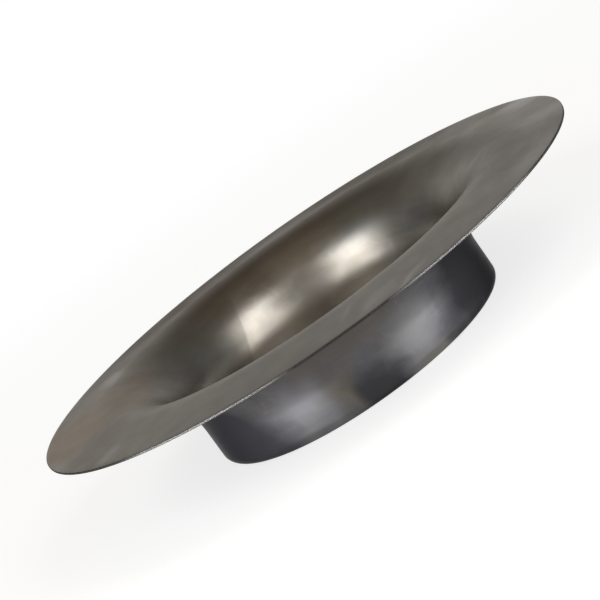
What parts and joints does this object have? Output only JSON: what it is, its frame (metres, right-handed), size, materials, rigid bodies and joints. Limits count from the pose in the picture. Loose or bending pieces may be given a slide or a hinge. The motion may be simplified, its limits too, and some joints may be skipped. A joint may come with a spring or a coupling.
{
  "type": "deep drawn dome",
  "caption": "round sheet steel cup with a closed flat base, a large rounded shoulder and a wide, slightly drooping brim",
  "frame": {"origin": "centre of the outside of the flat base", "axes": "+Z is the axis of revolution, from the base towards the open side; X and Y lie in the plane of the base"},
  "size_m": [0.4, 0.4, 0.074],
  "materials": {
    "bare_steel": "satin, dark grey, lightly drawn surface with a thin oil film"
  },
  "bodies": {
    "root": {"dome": "bare_steel"}
  },
  "joints": []
}
